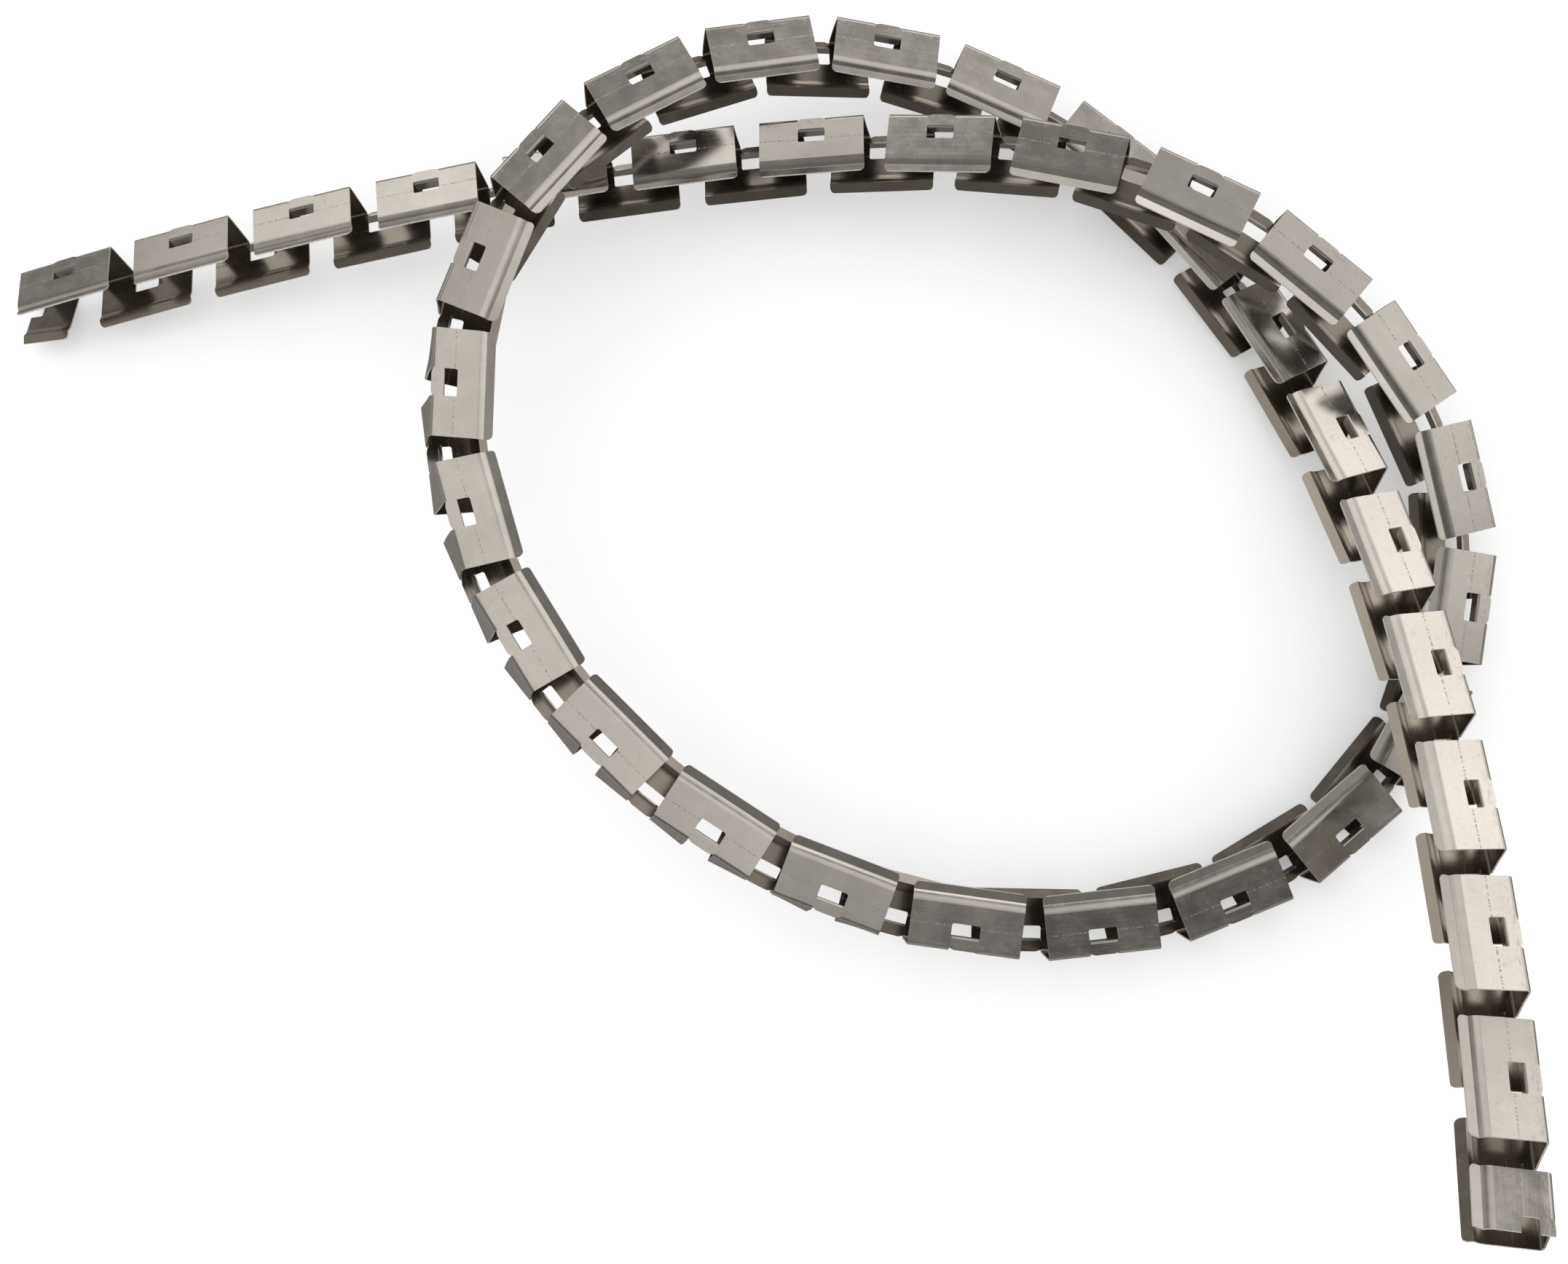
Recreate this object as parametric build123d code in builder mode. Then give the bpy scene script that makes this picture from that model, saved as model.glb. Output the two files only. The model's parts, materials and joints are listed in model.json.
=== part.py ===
"""A strip of folded sheet-steel clips, tied in a loose overhand knot that lies on a table.

Every clip is a small channel: an upper leg and a lower leg half a pitch apart, joined by a web at
the back, with an open mouth in front. Clips follow each other, and the strip flexes in the web
between one clip's lower leg and the next clip's upper leg.

Millimetres, +Z up. The origin is on the table, below the middle of the whole strip.
"""

import os

from build123d import *

# Driving dimensions
CLIPS = 40  # whole clips, between the two cut ends
PITCH = 25.0  # from one clip to the next, along the strip
SHEET = 0.3  # thickness of the steel
LEG_LENGTH = 19.8  # of one leg, along the strip
DEPTH = 11.2  # of a leg, from the middle of the web to the edge of the lip
HEIGHT = 9.3  # between the middles of the upper and the lower leg

# Details of a leg
FOLD_RADIUS = 0.6  # at the middle of the sheet, where a leg turns into the web
PINCH_START = 7.9  # from the web, where the leg starts to bend inwards
CREASE = 9.6  # from the web, where the bend ends and the lip starts
PINCH = 0.5  # how far the crease lies inside the flat of the leg
LIP_RISE = 0.2  # how far the edge of the lip lies outside the flat of the leg
LIP_CORNER = 1.0  # radius of the lip's corners
WINDOW_START = 2.0  # from the web to the window
WINDOW_LENGTH = 5.1  # along the strip
WINDOW_DEPTH = 2.6
WINDOW_CORNER = 0.4
NECK_RAMP = 0.9  # length of the slope at each end of the neck, the flat metal behind the window
NECK_SHOULDER = 0.3  # how far the neck falls back there

# Worked out from them
GAP = PITCH - LEG_LENGTH
WEB_LENGTH = (LEG_LENGTH - GAP) / 2
WEB_CENTRE = PITCH / 4  # from the middle of a leg
LEG_LEVEL = HEIGHT / 2
FLEX_GAP = 0.06  # between the two halves of a web that flexes

# Where the strip starts, and its direction there in degrees from +X
START = Vector(-141.347, 68.306, 5.345)
START_HEADING = 2

# How the strip lies. At each clip number: the turn to the right per clip, the climb along the
# strip and the lift of the mouth, in degrees. Between two of these places it changes evenly.
LIE = [
    (0, -36, 9, 20),  # the sawn-off leg, bent out of line
    (0.5, 0.2, 8.1, 18.6),  # the left tail, which starts on the table
    (5, 2, 0, 6),  # passes below the left side of the loop
    (8, 9.4, 9.5, -4),
    (10, 12.6, -8.5, -8),  # passes over the top of the loop
    (12.5, 22.8, -12.5, 10),
    (15, 19.8, 2.5, 14),  # passes below the right tail
    (18, 13.8, 7, 8),
    (21, 11.6, 11.5, -8),
    (24, 17.2, 4, -23),
    (27, 20.6, -8, -7),  # passes over the left tail
    (29.5, 17.2, -14.5, 1),
    (32, 13.6, -7.5, 8),  # passes below the start of the loop
    (34.5, 7.2, 15.5, 11),
    (37, 4.6, 19.5, 5),  # passes over the right side of the loop
    (41, 3.8, 35.5, -9),  # the free end of the right tail, in the air
]


def lie_at(clip):
    """The turn per clip, the climb and the mouth's lift at a place along the strip."""
    for before, after in zip(LIE, LIE[1:]):
        if clip <= after[0]:
            share = (clip - before[0]) / (after[0] - before[0])
            return [low + share * (high - low) for low, high in zip(before[1:], after[1:])]


def leg_planes():
    """The middle plane of the channel at every leg, from one end of the strip to the other.

    Even legs are lower ones and odd legs are upper ones. X runs along the strip, -Y points out of
    the mouth, and the origin is at the back of the leg, halfway along it and halfway up the web.
    """
    planes = []
    web = START
    heading = START_HEADING
    turn_before = lie_at(0)[0]
    for leg in range(2 * CLIPS + 2):
        turn, climb, lift = lie_at(leg / 2)
        if leg > 0:
            heading -= (turn_before + turn) / 4
        turn_before = turn
        direction = Plane(Rotation(-lift, -climb, heading, ordering=Extrinsic.XYZ))
        step = direction.x_dir * WEB_CENTRE
        middle = web + step if leg > 0 else web
        planes.append(Plane(middle, x_dir=direction.x_dir, z_dir=direction.z_dir))
        web = middle + step
    return planes


def web_plane(before, after):
    """The middle plane of the web between two legs, halfway between their directions."""
    x_dir = before.x_dir + after.x_dir
    z_dir = before.z_dir + after.z_dir
    y_dir = z_dir.cross(x_dir)
    return Plane(before.origin + before.x_dir * WEB_CENTRE, x_dir=x_dir, z_dir=x_dir.cross(y_dir))


def turned_over(plane):
    """The same plane seen from below, in which a lower leg is built like an upper one."""
    return Plane(plane.origin, x_dir=-plane.x_dir, z_dir=-plane.z_dir)


def add_half_web(plane, web, end, stop=0):
    """Half of a web: from the fold at one end of a leg to where it meets the other half.

    The web between two legs that don't point the same way is twisted, so each half is a loft.
    """
    with BuildSketch(plane.offset(LEG_LEVEL - FOLD_RADIUS)) as at_fold:
        with Locations((end * WEB_CENTRE, 0)):
            Rectangle(WEB_LENGTH, SHEET)
    with BuildSketch(web.offset(stop)) as at_middle:
        Rectangle(WEB_LENGTH, SHEET)
    loft([at_fold.sketch, at_middle.sketch], ruled=True)


# One leg, above its own middle plane. Every leg of the strip is this one.
with BuildPart() as leg:
    # The fold, the flat, the pinch and the lip, seen along the strip
    with BuildSketch(Plane.YZ):
        with BuildLine():
            inside = LEG_LEVEL - SHEET / 2
            fold = CenterArc(
                (-FOLD_RADIUS, LEG_LEVEL - FOLD_RADIUS), FOLD_RADIUS - SHEET / 2, 0, 90
            )
            flat = Line(fold @ 1, (-PINCH_START, inside))
            bend = TangentArc(flat @ 1, (-CREASE, inside - PINCH), tangent=(-1, 0))
            Line(bend @ 1, (-DEPTH, inside + LIP_RISE))
            offset(amount=SHEET, side=Side.RIGHT)
        make_face()
    extrude(amount=LEG_LENGTH / 2, both=True)

    # The outline seen from above, with the lip's rounded corners
    with BuildSketch() as outline:
        with Locations((0, SHEET)):
            Rectangle(LEG_LENGTH, DEPTH + SHEET, align=(Align.CENTER, Align.MAX))
        fillet(outline.vertices().group_by(Axis.Y)[0], LIP_CORNER)
    extrude(amount=HEIGHT, mode=Mode.INTERSECT)

    # No fold in the middle, where the slot between the opposite legs ends
    with BuildSketch(Plane.XY):
        with Locations((0, -FOLD_RADIUS)):
            Rectangle(GAP, DEPTH, align=(Align.CENTER, Align.MIN))
    extrude(amount=HEIGHT, mode=Mode.SUBTRACT)

    # The neck, which stays flat there and reaches to the middle of the web
    with BuildSketch(Plane.XY.offset(inside)):
        with BuildLine():
            Polyline(
                (-GAP / 2, -FOLD_RADIUS),
                (-GAP / 2, -NECK_SHOULDER),
                (-GAP / 2 + NECK_RAMP, 0),
                (GAP / 2 - NECK_RAMP, 0),
                (GAP / 2, -NECK_SHOULDER),
                (GAP / 2, -FOLD_RADIUS),
                close=True,
            )
        make_face()
    extrude(amount=SHEET)

    # The window
    with BuildSketch(Plane.XY) as window:
        with Locations((0, -WINDOW_START)):
            Rectangle(WINDOW_LENGTH, WINDOW_DEPTH, align=(Align.CENTER, Align.MAX))
        fillet(window.vertices(), WINDOW_CORNER)
    extrude(amount=HEIGHT, mode=Mode.SUBTRACT)

# The half leg that the saw leaves at each end of the strip
with BuildPart() as cut_leg:
    add(leg.part)
    split(bisect_by=Plane.YZ, keep=Keep.BOTTOM)


LEGS = leg_planes()
os.makedirs("parts", exist_ok=True)

# The sawn-off lower leg at the start, with its half of the first web
start_leg = turned_over(LEGS[0])
with BuildPart() as cut_end_start:
    with Locations(start_leg.location):
        add(cut_leg.part)
    add_half_web(start_leg, turned_over(web_plane(LEGS[0], LEGS[1])), -1, FLEX_GAP / 2)
cut_end_start.part.label = "cut_end_start"
export_step(cut_end_start.part, "parts/cut_end_start.step")

# The whole clips: an upper leg, a lower leg, the web between them, and half a web at each end
for number in range(1, CLIPS + 1):
    behind, upper, lower, ahead = LEGS[2 * number - 2 : 2 * number + 2]
    lower_over = turned_over(lower)
    with BuildPart() as clip:
        with Locations(upper.location, lower_over.location):
            add(leg.part)
        add_half_web(upper, web_plane(behind, upper), -1, FLEX_GAP / 2)
        add_half_web(upper, web_plane(upper, lower), 1)
        add_half_web(lower_over, turned_over(web_plane(upper, lower)), 1)
        add_half_web(lower_over, turned_over(web_plane(lower, ahead)), -1, FLEX_GAP / 2)
    name = f"clip_{number:02d}"
    clip.part.label = name
    export_step(clip.part, f"parts/{name}.step")

# The sawn-off upper leg at the finish, with its half of the last web
with BuildPart() as cut_end_finish:
    with Locations(LEGS[-1].location):
        add(cut_leg.part)
    add_half_web(LEGS[-1], web_plane(LEGS[-2], LEGS[-1]), -1, FLEX_GAP / 2)
cut_end_finish.part.label = "cut_end_finish"
export_step(cut_end_finish.part, "parts/cut_end_finish.step")
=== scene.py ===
"""The looks of a knotted strip of folded steel clips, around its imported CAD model."""

import json
import math
from collections import namedtuple

import bpy
from mathutils import Matrix, Vector


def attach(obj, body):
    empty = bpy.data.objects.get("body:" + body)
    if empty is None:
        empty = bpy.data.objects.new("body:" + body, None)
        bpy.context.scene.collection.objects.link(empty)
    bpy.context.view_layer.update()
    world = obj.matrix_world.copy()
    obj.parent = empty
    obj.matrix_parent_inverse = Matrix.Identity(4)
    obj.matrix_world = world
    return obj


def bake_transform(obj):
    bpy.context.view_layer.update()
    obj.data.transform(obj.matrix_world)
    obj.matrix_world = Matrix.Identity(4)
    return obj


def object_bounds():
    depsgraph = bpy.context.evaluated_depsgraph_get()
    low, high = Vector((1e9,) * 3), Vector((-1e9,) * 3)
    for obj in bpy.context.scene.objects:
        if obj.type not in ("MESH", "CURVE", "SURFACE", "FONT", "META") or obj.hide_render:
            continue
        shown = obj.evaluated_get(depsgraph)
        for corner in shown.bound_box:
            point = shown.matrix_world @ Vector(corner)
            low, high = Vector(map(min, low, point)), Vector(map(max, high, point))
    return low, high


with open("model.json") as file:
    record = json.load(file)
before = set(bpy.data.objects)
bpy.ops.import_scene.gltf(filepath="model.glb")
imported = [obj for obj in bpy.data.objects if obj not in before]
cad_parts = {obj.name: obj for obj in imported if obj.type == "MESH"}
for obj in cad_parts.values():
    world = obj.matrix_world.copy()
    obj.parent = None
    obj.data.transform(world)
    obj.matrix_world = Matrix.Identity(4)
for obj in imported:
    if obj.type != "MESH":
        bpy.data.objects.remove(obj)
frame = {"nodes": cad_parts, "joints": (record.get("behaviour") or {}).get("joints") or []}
cad_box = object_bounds()

MM = 0.001
UPPER, LOWER = 1, -1

# The strip's sizes that the frame doesn't name, in mm
WEB_CENTRE = 6.25  # from the middle of a leg to the middle of the web beside it
WEB_LENGTH = 7.3
DEPTH = 11.2  # from the web to the edge of the lip
SHEET = 0.3
SCORE_DEPTH = 4.1  # from the web to the scored line
FOLD_SCUFF_DEPTH = 0.9  # from the web to the middle of the scuffs along the fold
FOLD_LEVEL = 4.05  # above and below the middle of a web, where its folds begin
OUTSIDE_LEVEL = 4.5  # from the middle of the web; the outer faces of the legs lie beyond it
LEG_BEGINS = (4.2, 4.4)  # from the middle of the web, where marks on the legs fade in
LEG_STEP = 12.5  # from one leg to the next along the strip

# How the faces of a leg are told apart. Each limit on a direction is the cosine of an angle.
OUTWARD = 0.9  # of an outer face
FLATNESS = 0.005  # mm, the most by which two polygons of one flat may differ in level
SHEARED = 0.7  # of a sheared edge
LIP_SHEARED = 0.6  # of the lip's edge, which has round corners
LIP_EDGE = 0.98 * DEPTH  # mm from the web; beyond it lies the lip's edge
WINDOW_SPAN = (1.0, 6.0)  # mm from the web; the window lies well inside
INWARD = 0.5  # of an inner face, the slope near the mouth included
CUT_SLOT = 1  # the material slot of the sheared edges

# The tongue that is cut out of a window on three sides and bent into the channel, in mm
LEG_LEVEL = 4.65  # from the middle of the web to the middle of a leg's sheet
WINDOW_START = 2.0  # from the web to the window
TONGUE_LENGTH = 4.9  # along the strip
TONGUE_SHEET = 0.28
TONGUE_BEND = 0.30  # radius of the bend, in the middle of the sheet
TONGUE_DROP = 2.0  # from the bend to the tip
TONGUE_ROOT = 0.15  # how far it reaches into the neck behind the window
TONGUE_CORNER = 0.5  # radius of the tip's corners
BEND_STEPS = 6
TONGUE_SECTION = ((-1, 1), (1, 1), (1, -1), (-1, -1))

# The skin that closes a bending web
SKIN = 0.012  # mm, how far it stands proud of the sheet
SKIN_REACH = 0.92  # share of the way from the middle to the folds
SKIN_ROWS = 6
SKIN_SECTION = ((-1, -1), (1, -1), (1, 1), (-1, 1))

JOINTS = {joint["name"]: joint for joint in frame["joints"]}
CLIPS = len(JOINTS) - 1
BODY_ORDER = ["cut_end_start", *("clip_%02d" % n for n in range(1, CLIPS + 1)), "cut_end_finish"]

# Colours
OUTER_STEEL = (0.66, 0.625, 0.58, 1)
# Painted shade: this darker steel colour goes on the faces inside the channel
SHADED_INSIDE_STEEL = (0.37, 0.33, 0.285, 1)
CUT_STEEL_DARK = (0.62, 0.59, 0.55, 1)
CUT_STEEL_LIGHT = (0.86, 0.83, 0.79, 1)
FLOOR_SEEN = (0.93, 0.93, 0.93, 1)
FLOOR_REFLECTED = (0.24, 0.23, 0.22, 1)
WHITE = (1, 1, 1, 1)
DAYLIGHT = (1.08, 1.08, 1.08, 1)  # on everything matt, and seen beyond the floor
LAMPLIGHT = (1.0, 0.975, 0.945, 1)  # the tint of what the steel reflects

# The floor
FLOOR_HALF = 3.0  # m
FLOOR_DROP = 0.05  # mm below the lowest clip
FLOOR_LIFT = 0.20  # how much the soft shadows on the floor are lightened

# Where the camera is, in metres from the first flexing web, how it is turned, and its lens in mm
CAMERA_FROM_FIRST_WEB = (0.1779, -0.1409, 0.3544)
CAMERA_TURN = (0.1859, 0.0867, -0.0012)
CAMERA_SENSOR = 36.0
CAMERA_LENS = 44.48
CAMERA_CLIP_START = 0.01  # m

# What the steel reflects: bright rectangles on a dim ceiling one unit up, a dark flag, and light
# walls that begin far out. Sizes are in ceiling heights and the turn is in degrees.
Panel = namedtuple("Panel", "middle half_size fade turn brightness")
CEILING = 0.19
WALLS = 0.50
WALLS_FROM, WALLS_FULL = 3.3, 5.5
LOWEST_RISE = 0.05  # keeps the place on the ceiling finite near the horizon
CEILING_PANELS = {
    "back": Panel((0.56, 1.22), (0.27, 0.44), 0.15, 0, 1.55),
    "back_left": Panel((-0.20, 1.55), (0.50, 0.75), 0.16, 0, 0.85),
    "left": Panel((-0.86, 1.29), (0.62, 0.28), 0.10, -50, 1.00),
    "near_left": Panel((-0.32, 0.77), (0.26, 0.27), 0.05, 0, 1.15),
    "low_left": Panel((-0.75, 0.18), (0.45, 0.26), 0.16, 0, 0.50),
    "overhead": Panel((0.60, 0.21), (0.38, 0.31), 0.14, 0, 0.86),
    "right": Panel((0.86, -0.01), (0.28, 0.12), 0.06, 0, 1.05),
    "fill": Panel((0.18, 0.06), (0.22, 0.22), 0.12, 0, 0.48),
    "far_right": Panel((8.0, 1.95), (7.1, 1.80), 0.40, 0, 1.00),
}
CEILING_FLAG = Panel((0.30, -0.30), (0.50, 0.11), 0.08, 0, 0.10)

Leg = namedtuple("Leg", "node side place")

scene = bpy.context.scene


# ------------------------------------------------------------------ the legs' places


def web_point(number):
    """The middle of a flexing web, counted from 1 along the strip."""
    return Vector(JOINTS["flex_%02d" % number]["pos_m"])


def web_axis(number):
    """The direction of a flexing web's hinge, from the lower legs to the upper ones."""
    axis = Vector(JOINTS["flex_%02d" % number]["axis"])
    return axis if axis.z > 0 else -axis


def outer_flat(mesh, side, web, up):
    """The polygons of the large flat face on the outside of the upper or the lower leg."""
    outward = up * side
    facing = [
        p
        for p in mesh.polygons
        if p.normal.dot(outward) > OUTWARD and (p.center - web).dot(outward) > OUTSIDE_LEVEL * MM
    ]
    first = max(facing, key=lambda p: p.area)
    return [p for p in facing if abs((p.center - first.center).dot(first.normal)) < FLATNESS * MM]


def longest_side(mesh, polygons):
    """The direction of the longest side of a flat made of several polygons."""
    times = {}
    for polygon in polygons:
        corners = [mesh.vertices[i].co for i in polygon.vertices]
        for a, b in zip(corners, corners[1:] + corners[:1]):
            ends = [tuple(round(c / MM, 3) for c in corner) for corner in (a, b)]
            side = tuple(sorted(ends))
            times[side] = times.get(side, 0) + 1
    outline = [Vector(b) - Vector(a) for (a, b), count in times.items() if count == 1]
    return max(outline, key=lambda side: side.length).normalized()


def leg_place(node, side, web, up, along):
    """The matrix from a leg's own axes, in mm, to the frame.

    X runs along the strip, -Y out of the mouth and Z from the lower legs to the upper ones. The
    origin is at the back, halfway along the leg and halfway up the web.
    """
    mesh = frame["nodes"][node].data
    flat = outer_flat(mesh, side, web, up)
    z = max(flat, key=lambda p: p.area).normal * side
    x = longest_side(mesh, flat)
    if x.dot(along) < 0:
        x = -x
    centre = sum((p.center * p.area for p in flat), Vector()) / sum(p.area for p in flat)
    to_leg = 1 if (centre - web).dot(x) > 0 else -1
    origin = web + x * to_leg * WEB_CENTRE * MM
    axes = Matrix((x, z.cross(x), z)).transposed() * MM
    return Matrix.Translation(origin) @ axes.to_4x4()


def find_legs():
    """Every leg along the strip. Its place is the matrix from its own axes to the frame."""
    legs = []
    for number, node in enumerate(BODY_ORDER):
        before = min(max(number, 1), CLIPS)
        along = web_point(before + 1) - web_point(before)
        if number > 0:
            web, up = web_point(number), web_axis(number)
            legs.append(Leg(node, UPPER, leg_place(node, UPPER, web, up, along)))
        if number <= CLIPS:
            web, up = web_point(number + 1), web_axis(number + 1)
            legs.append(Leg(node, LOWER, leg_place(node, LOWER, web, up, along)))
    return legs


def is_cut_face(polygon, to_leg):
    """Whether a polygon is a sheared edge of the sheet, seen in its leg's own axes."""
    centre = to_leg @ polygon.center
    normal = (to_leg.to_3x3() @ polygon.normal).normalized()
    at_lip = centre.y < -LIP_EDGE and abs(normal.y) > LIP_SHEARED
    in_window = abs(normal.y) > SHEARED and WINDOW_SPAN[0] < -centre.y < WINDOW_SPAN[1]
    return abs(normal.x) > SHEARED or at_lip or in_window


def is_inside(polygon, to_leg, side):
    """Whether a polygon faces the inside of the channel, seen in its leg's own axes."""
    normal = (to_leg.to_3x3() @ polygon.normal).normalized()
    on_leg = abs((to_leg @ polygon.center).z) > FOLD_LEVEL
    towards_inside = -normal.z * side if on_leg else -normal.y
    return towards_inside > INWARD


def mark_places(legs):
    """Gives the CAD meshes what the material needs to know.

    "strip" is a corner's place in mm: X counts along the strip from its start, Y and Z are those
    of the corner's own leg. "inside" is 1 on the faces that look into the channel, which get painted
    shade.
    """
    by_node = {}
    for number, leg in enumerate(legs):
        along = Matrix.Translation((number * LEG_STEP, 0, 0))
        by_node.setdefault(leg.node, {})[leg.side] = (leg.place.inverted(), along)
    for node, sides in by_node.items():
        mesh = frame["nodes"][node].data
        strip = mesh.attributes.new("strip", "FLOAT_VECTOR", "CORNER")
        inside = mesh.attributes.new("inside", "FLOAT", "FACE")
        to_any, _ = next(iter(sides.values()))
        for polygon in mesh.polygons:
            side = UPPER if (to_any @ polygon.center).z > 0 else LOWER
            to_leg, along = sides.get(side) or next(iter(sides.values()))
            for loop in polygon.loop_indices:
                corner = mesh.vertices[mesh.loops[loop].vertex_index].co
                strip.data[loop].vector = along @ to_leg @ corner
            if is_cut_face(polygon, to_leg):
                polygon.material_index = CUT_SLOT
            elif is_inside(polygon, to_leg, side):
                inside.data[polygon.index].value = 1


# ----------------------------------------------------------------------- materials


class Nodes:
    """A short way to write a material's node tree."""

    def __init__(self, tree):
        self.tree = tree

    def add(self, kind, values=None, **settings):
        node = self.tree.nodes.new(kind)
        for name, value in settings.items():
            setattr(node, name, value)
        for name, value in (values or {}).items():
            if isinstance(value, bpy.types.NodeSocket):
                self.tree.links.new(value, node.inputs[name])
            else:
                node.inputs[name].default_value = value
        return node

    def math(self, operation, *values):
        node = self.add("ShaderNodeMath", dict(enumerate(values)), operation=operation)
        return node.outputs[0]

    def smooth(self, value, start, end, low=0.0, high=1.0):
        """Goes smoothly from low to high while value goes from start to end."""
        node = self.add("ShaderNodeMapRange", interpolation_type="SMOOTHSTEP")
        self.tree.links.new(value, node.inputs["Value"])
        for name, number in zip(("From Min", "From Max", "To Min", "To Max"), (start, end, low, high)):
            node.inputs[name].default_value = number
        return node.outputs["Result"]

    def scaled(self, vector, scale):
        node = self.add("ShaderNodeVectorMath", {0: vector, 1: scale}, operation="MULTIPLY")
        return node.outputs["Vector"]

    def noise(self, vector, scale, detail=3.0, roughness=0.5):
        values = {"Vector": vector, "Scale": scale, "Detail": detail, "Roughness": roughness}
        return self.add("ShaderNodeTexNoise", values).outputs["Fac"]

    def blend(self, share, a, b, mode="MIX"):
        node = self.add("ShaderNodeMixRGB", {"Fac": share, "Color1": a, "Color2": b}, blend_type=mode)
        return node.outputs["Color"]


def new_material(name):
    material = bpy.data.materials.new(name)
    material.use_nodes = True
    material.node_tree.nodes.clear()
    return material, Nodes(material.node_tree)


def finish_material(nodes, values):
    shader = nodes.add("ShaderNodeBsdfPrincipled", values)
    nodes.add("ShaderNodeOutputMaterial", {"Surface": shader.outputs["BSDF"]})


def place_on_strip(nodes):
    return nodes.add("ShaderNodeAttribute", attribute_name="strip").outputs["Vector"]


def make_steel():
    """Rolled stainless sheet: fine grain along the strip, faint stains and a broken scored line.

    The faces inside the channel are painted darker, as painted shade.
    """
    material, nodes = new_material("rolled_steel")
    place = place_on_strip(nodes)
    axes = nodes.add("ShaderNodeSeparateXYZ", {"Vector": place})
    across = axes.outputs["Y"]
    on_leg = nodes.smooth(nodes.math("ABSOLUTE", axes.outputs["Z"]), *LEG_BEGINS)

    # Stains a few millimetres wide, specks, and the fine grain from rolling
    stains = nodes.noise(place, 0.22, 4.0, 0.6)
    specks = nodes.noise(place, 2.6, 3.0, 0.7)
    grain = nodes.noise(nodes.scaled(place, (0.10, 6.0, 6.0)), 1.0, 4.0, 0.65)
    scratches = nodes.noise(nodes.scaled(place, (0.30, 15.0, 15.0)), 1.0, 2.0, 0.5)

    # The scored line, which is broken into short marks
    from_line = nodes.math("ABSOLUTE", nodes.math("ADD", across, SCORE_DEPTH))
    near_line = nodes.smooth(from_line, 0.07, 0.17, 1.0, 0.0)
    marks = nodes.noise(nodes.scaled(place, (2.6, 0.25, 0.25)), 1.0, 3.0, 0.7)
    broken = nodes.math("MULTIPLY", nodes.smooth(marks, 0.48, 0.58), near_line)
    score = nodes.math("MULTIPLY", broken, on_leg)

    # Scuffs along the fold, where the sheet was pressed against the bending tool
    from_fold = nodes.math("ABSOLUTE", nodes.math("ADD", across, FOLD_SCUFF_DEPTH))
    near_fold = nodes.smooth(from_fold, 0.1, 0.7, 1.0, 0.0)
    patches = nodes.noise(nodes.scaled(place, (0.9, 2.4, 2.4)), 1.0, 5.0, 0.75)
    scuffed = nodes.math("MULTIPLY", nodes.smooth(patches, 0.50, 0.66), near_fold)
    scuff = nodes.math("MULTIPLY", scuffed, on_leg)
    worn = nodes.math("MAXIMUM", score, nodes.math("MULTIPLY", scuff, 0.35))

    # Dark smudges, here and there
    smears = nodes.noise(place, 0.5, 6.0, 0.72)
    smudge = nodes.smooth(smears, 0.58, 0.74)

    # Colour: warm grey, paler stains, and a slightly different tone on every clip
    tones = nodes.noise(nodes.scaled(place, (0.04, 0.0, 0.0)), 1.0, 1.0)
    tone = nodes.smooth(tones, 0.3, 0.7, 0.94, 1.04)
    stained = nodes.smooth(stains, 0.38, 0.66, 0.94, 1.04)
    grained = nodes.smooth(grain, 0.3, 0.7, 0.97, 1.02)
    shade = nodes.math("MULTIPLY", nodes.math("MULTIPLY", tone, stained), grained)
    grey = nodes.add("ShaderNodeCombineXYZ", {"X": shade, "Y": shade, "Z": shade}).outputs["Vector"]
    shade = nodes.math("MULTIPLY", shade, nodes.smooth(smudge, 0.0, 1.0, 1.0, 0.74))
    # Painted shade: the faces inside the channel get the darker steel colour
    inside = nodes.add("ShaderNodeAttribute", attribute_name="inside").outputs["Fac"]
    steel_colour = nodes.blend(inside, OUTER_STEEL, SHADED_INSIDE_STEEL)
    colour = nodes.blend(1.0, steel_colour, grey, "MULTIPLY")

    # Roughness: satin, and dull where it is scored or scuffed
    rough = nodes.smooth(stains, 0.3, 0.7, 0.16, 0.22)
    rough = nodes.math("ADD", rough, nodes.smooth(grain, 0.25, 0.75, -0.02, 0.03))
    rough = nodes.math("ADD", rough, nodes.smooth(specks, 0.45, 0.75, 0.0, 0.05))
    rough = nodes.math("ADD", rough, nodes.math("MULTIPLY", smudge, 0.10))
    rough = nodes.math("ADD", rough, nodes.math("MULTIPLY", worn, 0.42))

    # Relief: soft dents and the rolling grain
    dents = nodes.noise(place, 0.11, 2.0, 0.5)
    height = nodes.math("MULTIPLY", dents, 0.025)
    height = nodes.math("ADD", height, nodes.math("MULTIPLY", grain, 0.0009))
    height = nodes.math("ADD", height, nodes.math("MULTIPLY", scratches, 0.0004))
    height = nodes.math("ADD", height, nodes.math("MULTIPLY", specks, 0.0004))
    height = nodes.math("ADD", height, nodes.math("MULTIPLY", score, 0.002))
    bump = nodes.add("ShaderNodeBump", {"Strength": 1.0, "Distance": MM, "Height": height})
    finish_material(
        nodes,
        {
            "Base Color": colour,
            "Metallic": 1.0,
            "Roughness": rough,
            "Normal": bump.outputs["Normal"],
        },
    )
    return material


def make_cut_steel():
    """The sheared edge of the sheet: bright, with the tool's fine marks across it."""
    material, nodes = new_material("cut_steel")
    place = place_on_strip(nodes)
    marks = nodes.noise(nodes.scaled(place, (4.0, 4.0, 0.7)), 1.0, 3.0, 0.6)
    colour = nodes.blend(marks, CUT_STEEL_DARK, CUT_STEEL_LIGHT)
    rough = nodes.smooth(marks, 0.3, 0.7, 0.22, 0.42)
    bump = nodes.add("ShaderNodeBump", {"Strength": 0.5, "Distance": 0.01 * MM, "Height": marks})
    finish_material(
        nodes,
        {
            "Base Color": colour,
            "Metallic": 0.5,
            "Roughness": rough,
            "Normal": bump.outputs["Normal"],
        },
    )
    return material


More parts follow.
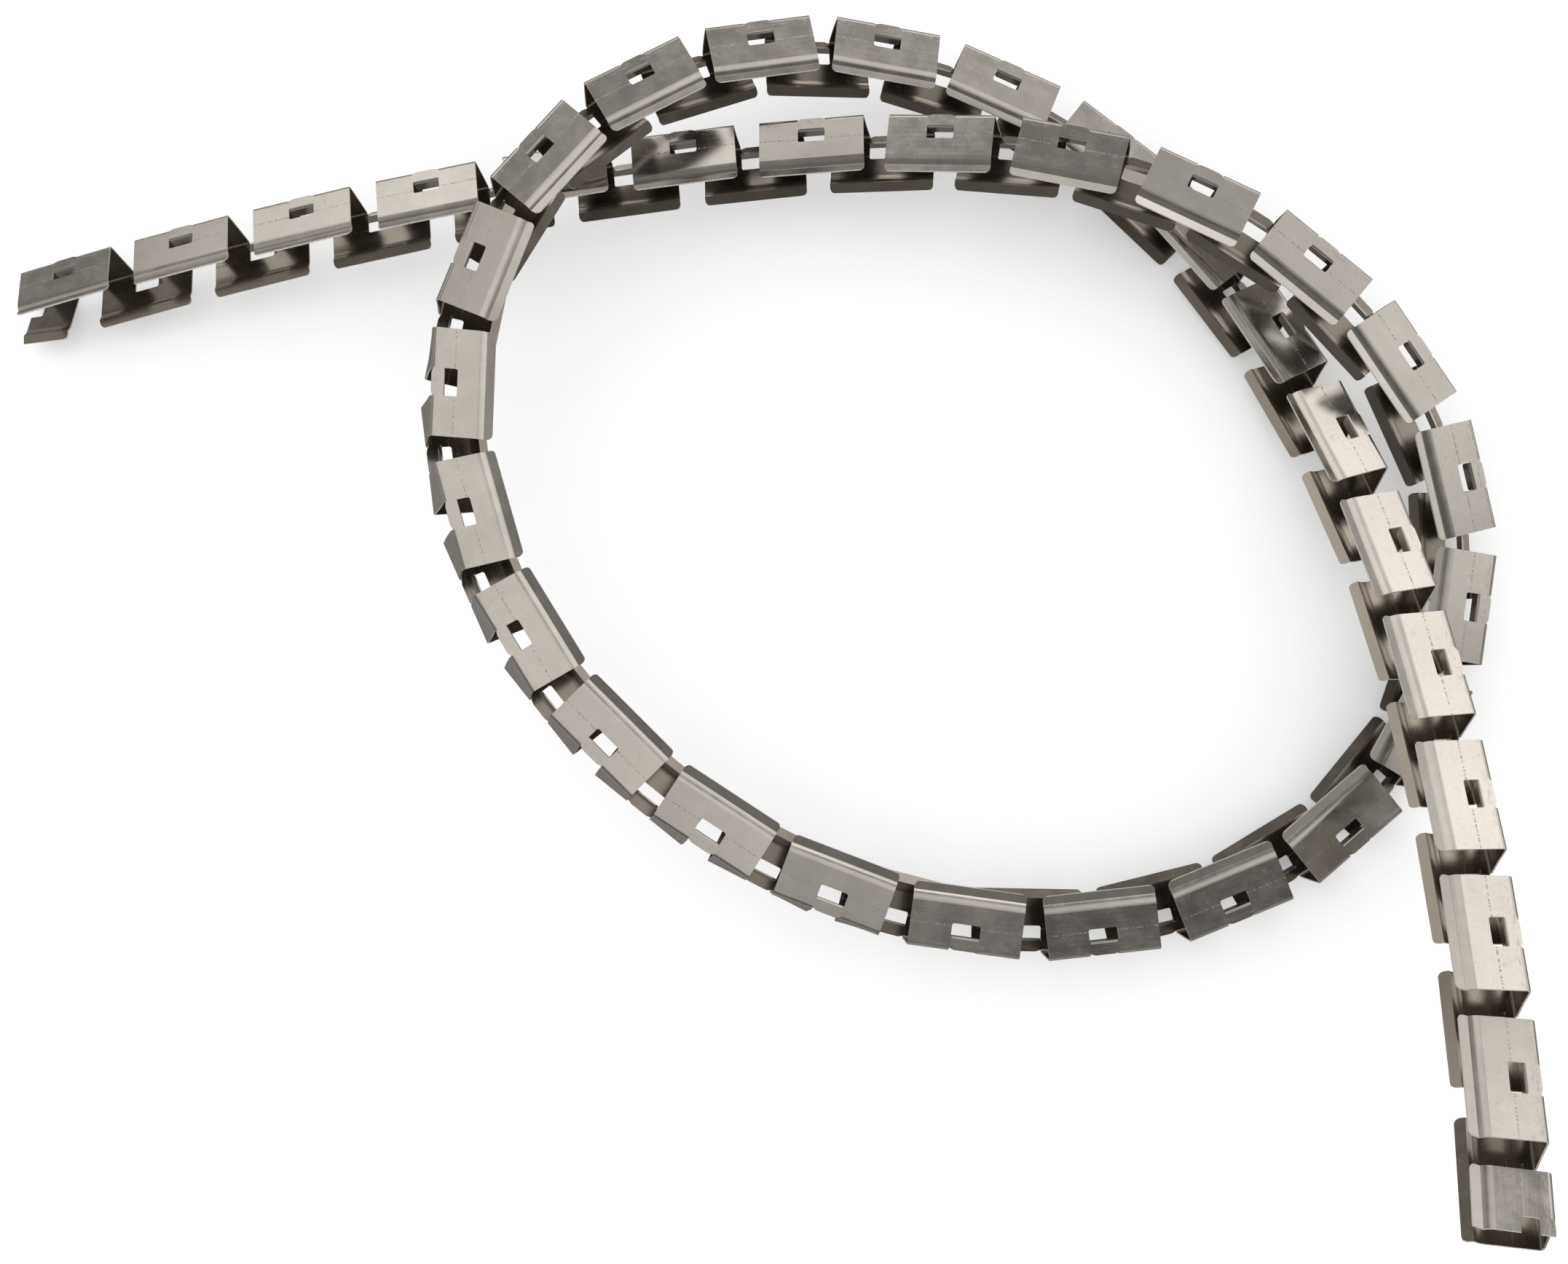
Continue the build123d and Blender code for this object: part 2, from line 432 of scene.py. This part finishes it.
def make_floor_material():
    """Pale matt paper. Steel sees it dimmer than the camera does, as in a dark studio."""
    material, nodes = new_material("pale_floor")
    place = nodes.add("ShaderNodeTexCoord").outputs["Object"]
    grain = nodes.smooth(nodes.noise(place, 900.0, 3.0), 0.3, 0.7, 0.985, 1.0)
    pale = nodes.blend(1.0, FLOOR_SEEN, grain, "MULTIPLY")
    rays = nodes.add("ShaderNodeLightPath")
    colour = nodes.blend(rays.outputs["Is Glossy Ray"], pale, FLOOR_REFLECTED)
    values = {"Base Color": colour, "Roughness": 0.9, "Emission Color": WHITE}
    values["Emission Strength"] = nodes.math("MULTIPLY", rays.outputs["Is Camera Ray"], FLOOR_LIFT)
    finish_material(nodes, values)
    return material


# -------------------------------------------------------------------- new pieces


def new_object(name, verts, faces, material):
    mesh = bpy.data.meshes.new(name)
    mesh.from_pydata(verts, [], faces)
    mesh.materials.append(material)
    piece = bpy.data.objects.new(name, mesh)
    scene.collection.objects.link(piece)
    return piece


def bar_faces(rings, first=0, flip=False):
    """The faces of a closed bar whose section has four corners, from ring to ring, then its ends."""
    faces = []
    for ring in range(rings - 1):
        a = first + 4 * ring
        b = a + 4
        for i in range(4):
            j = (i + 1) % 4
            faces.append((a + i, a + j, b + j, b + i))
    last = first + 4 * (rings - 1)
    faces.append((first + 3, first + 2, first + 1, first))
    faces.append((last, last + 1, last + 2, last + 3))
    return [face[::-1] for face in faces] if flip else faces


def set_strip(mesh, places):
    """Gives every vertex its place on the strip, as mark_places does for the CAD meshes."""
    strip = mesh.attributes.new("strip", "FLOAT_VECTOR", "POINT")
    for vertex, place in zip(strip.data, places):
        vertex.vector = place


# ------------------------------------------------------------------ flexing webs


def web_corners(place, along, level):
    """The four corners of a web's section, a skin's thickness outside the CAD web's."""
    half_length = WEB_LENGTH / 2 + SKIN
    half_sheet = SHEET / 2 + SKIN
    return [
        place @ Vector((along + i * half_length, j * half_sheet, level)) for i, j in SKIN_SECTION
    ]


def add_web_skin(number, lower, upper, steel):
    """The part of a web that bends: a thin skin around both halves, so that no gap shows."""
    point, axis = web_point(number), web_axis(number)
    x = lower.to_3x3().col[0].normalized() + upper.to_3x3().col[0].normalized()
    x = (x - axis * x.dot(axis)).normalized()
    middle = Matrix.Translation(point) @ Matrix((x, axis.cross(x), axis)).transposed().to_4x4()
    middle = middle @ Matrix.Scale(MM, 4)
    at_lower_fold = web_corners(lower, WEB_CENTRE, -FOLD_LEVEL)
    at_middle = web_corners(middle, 0, 0)
    at_upper_fold = web_corners(upper, -WEB_CENTRE, FOLD_LEVEL)

    verts = []
    for row in range(2 * SKIN_ROWS + 1):
        share = SKIN_REACH * (row / SKIN_ROWS - 1)
        far = at_upper_fold if share > 0 else at_lower_fold
        verts += [a.lerp(b, abs(share)) for a, b in zip(at_middle, far)]
    web = new_object("web_%02d" % number, verts, bar_faces(2 * SKIN_ROWS + 1), steel)

    # A web stands halfway between two legs, which are numbered from 0 along the strip
    to_strip = Matrix.Translation(((2 * number - 1.5) * LEG_STEP, 0, 0)) @ middle.inverted()
    set_strip(web.data, [to_strip @ vertex.co for vertex in web.data.vertices])
    # Painted shade: the faces inside the channel are marked for the darker steel colour
    inside = web.data.attributes.new("inside", "FLOAT", "FACE")
    for row in range(2 * SKIN_ROWS):
        inside.data[4 * row].value = 1
    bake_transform(web)


# ------------------------------------------------------------------------- tongues


def tongue_rings(side):
    """The tongue's section from its root to its tip, ring by ring, in its leg's own axes."""
    start = -WINDOW_START
    turns = [math.pi / 2 * step / BEND_STEPS for step in range(BEND_STEPS + 1)]

    # Each row is the middle of the sheet, the direction across it, and how much narrower it is
    rows = [(start + TONGUE_ROOT, LEG_LEVEL, (0.0, 1.0), 0.0)]
    for turn in turns:
        y = start - TONGUE_BEND * math.sin(turn)
        z = LEG_LEVEL - TONGUE_BEND * (1 - math.cos(turn))
        rows.append((y, z, (-math.sin(turn), math.cos(turn)), 0.0))
    for turn in turns:
        drop = TONGUE_DROP - TONGUE_CORNER * (1 - math.sin(turn))
        rows.append((y, z - drop, (-1.0, 0.0), TONGUE_CORNER * (1 - math.cos(turn))))

    rings = []
    for y, z, (across_y, across_z), narrowing in rows:
        half = TONGUE_LENGTH / 2 - narrowing
        ring = []
        for i, j in TONGUE_SECTION:
            reach = j * TONGUE_SHEET / 2
            ring.append(Vector((i * half, y + across_y * reach, side * (z + across_z * reach))))
        rings.append(ring)
    return rings


def add_tongues(node, legs, steel):
    """The tongues of one clip's upper and lower leg, as one piece."""
    verts, faces, places = [], [], []
    for number, leg in enumerate(legs):
        if leg.node != node:
            continue
        rings = tongue_rings(leg.side)
        faces += bar_faces(len(rings), first=len(verts), flip=leg.side == UPPER)
        corners = [corner for ring in rings for corner in ring]
        verts += [leg.place @ corner for corner in corners]
        places += [corner + Vector((number * LEG_STEP, 0, 0)) for corner in corners]
    tongues = new_object(node.replace("clip", "tongues"), verts, faces, steel)
    set_strip(tongues.data, places)
    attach(tongues, node)


# --------------------------------------------------------------------------- scene


def add_floor(material):
    corners = [(i * FLOOR_HALF, j * FLOOR_HALF, 0) for i, j in ((-1, -1), (1, -1), (1, 1), (-1, 1))]
    floor = new_object("floor", corners, [(0, 1, 2, 3)], material)
    floor.location.z = cad_box[0][2] - FLOOR_DROP * MM


def make_world():
    """Even white light on everything matt, and for the steel a dim ceiling with soft panels."""
    world = bpy.data.worlds.new("studio")
    scene.world = world
    world.use_nodes = True
    world.node_tree.nodes.clear()
    nodes = Nodes(world.node_tree)
    direction = nodes.add("ShaderNodeTexCoord").outputs["Generated"]
    axes = nodes.add("ShaderNodeSeparateXYZ", {"Vector": direction})
    up = nodes.math("MAXIMUM", axes.outputs["Z"], LOWEST_RISE)
    ceiling_x = nodes.math("DIVIDE", axes.outputs["X"], up)
    ceiling_y = nodes.math("DIVIDE", axes.outputs["Y"], up)

    def panel_light(panel):
        cos, sin = math.cos(math.radians(panel.turn)), math.sin(math.radians(panel.turn))
        x = nodes.math("SUBTRACT", ceiling_x, panel.middle[0])
        y = nodes.math("SUBTRACT", ceiling_y, panel.middle[1])
        along = nodes.math("ADD", nodes.math("MULTIPLY", x, cos), nodes.math("MULTIPLY", y, sin))
        across = nodes.math("SUBTRACT", nodes.math("MULTIPLY", y, cos), nodes.math("MULTIPLY", x, sin))
        shares = []
        for value, half in zip((along, across), panel.half_size):
            value = nodes.math("ABSOLUTE", value)
            shares.append(nodes.smooth(value, half - panel.fade, half + panel.fade, 1.0, 0.0))
        return nodes.math("MULTIPLY", nodes.math("MULTIPLY", *shares), panel.brightness)

    # Light walls around the dim ceiling
    squares = [nodes.math("MULTIPLY", value, value) for value in (ceiling_x, ceiling_y)]
    outwards = nodes.math("SQRT", nodes.math("ADD", *squares))
    light = nodes.smooth(outwards, WALLS_FROM, WALLS_FULL, CEILING, WALLS)
    for panel in CEILING_PANELS.values():
        light = nodes.math("MAXIMUM", panel_light(panel), light)
    light = nodes.math("SUBTRACT", light, panel_light(CEILING_FLAG))
    warm = nodes.blend(1.0, LAMPLIGHT, light, "MULTIPLY")
    glossy = nodes.add("ShaderNodeLightPath").outputs["Is Glossy Ray"]
    colour = nodes.blend(glossy, DAYLIGHT, warm)
    background = nodes.add("ShaderNodeBackground", {"Color": colour, "Strength": 1.0})
    nodes.add("ShaderNodeOutputWorld", {"Surface": background.outputs["Background"]})


def add_camera():
    """Above the strip, seen as a normal lens sees it from an arm's length."""
    data = bpy.data.cameras.new("camera")
    data.sensor_width = CAMERA_SENSOR
    data.lens = CAMERA_LENS
    data.clip_start = CAMERA_CLIP_START
    camera = bpy.data.objects.new("camera", data)
    camera.location = web_point(1) + Vector(CAMERA_FROM_FIRST_WEB)
    camera.rotation_euler = CAMERA_TURN
    scene.collection.objects.link(camera)
    scene.camera = camera


steel = make_steel()
cut_steel = make_cut_steel()
legs = find_legs()
for node in frame["nodes"].values():
    node.data.materials.clear()
    node.data.materials.append(steel)
    node.data.materials.append(cut_steel)
mark_places(legs)
for number in range(1, CLIPS + 2):
    lower, upper = legs[2 * number - 2 : 2 * number]
    add_web_skin(number, lower.place, upper.place, steel)
for node in BODY_ORDER[1:-1]:
    add_tongues(node, legs, steel)
add_floor(make_floor_material())
make_world()
add_camera()
scene.view_settings.view_transform = "Standard"
